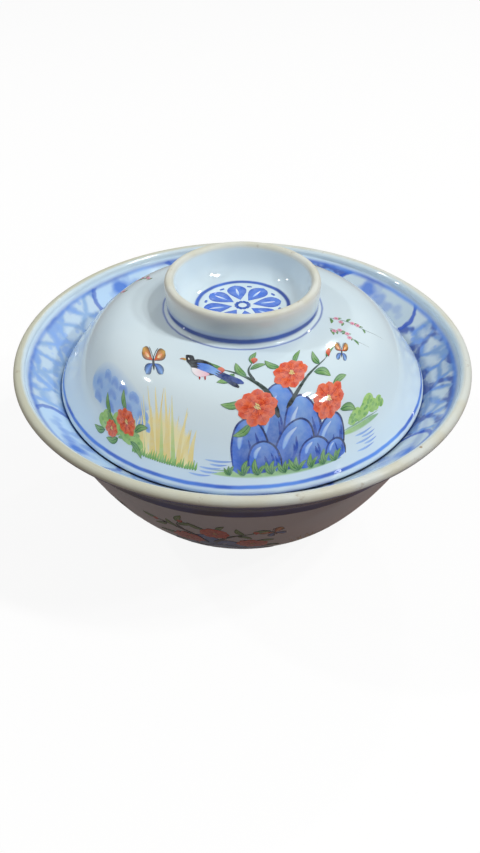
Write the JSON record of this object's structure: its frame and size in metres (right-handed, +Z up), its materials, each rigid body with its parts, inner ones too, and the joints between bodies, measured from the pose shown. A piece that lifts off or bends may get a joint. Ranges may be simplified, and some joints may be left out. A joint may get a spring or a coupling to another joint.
{
  "type": "porcelain bowl with lid",
  "caption": "Flared porcelain bowl on a foot ring, with a domed lid that rests inside the sloping rim and lifts off by a hollow ring knob.",
  "frame": {"origin": "centre of the foot ring's base, on the surface that the bowl stands on", "axes": "+Z up along the axis that the bowl and the lid are turned about; -Y towards the viewer of the picture"},
  "size_m": [0.15, 0.15, 0.0902],
  "materials": {
    "bowl_porcelain": "glossy pale blue-white glaze with cobalt blue bands, and a bare beige lip and foot",
    "lid_porcelain": "glossy pale blue-white glaze with cobalt blue lines and coloured flowers, and a bare beige rim on the ring knob"
  },
  "bodies": {
    "bowl": {"bowl": "bowl_porcelain"},
    "lid": {"lid": "lid_porcelain"}
  },
  "joints": [
    {"name": "lid_lift", "type": "slide", "parent": "bowl", "child": "lid", "axis": [0, 0, 1], "range_m": [0, 0.1]}
  ]
}
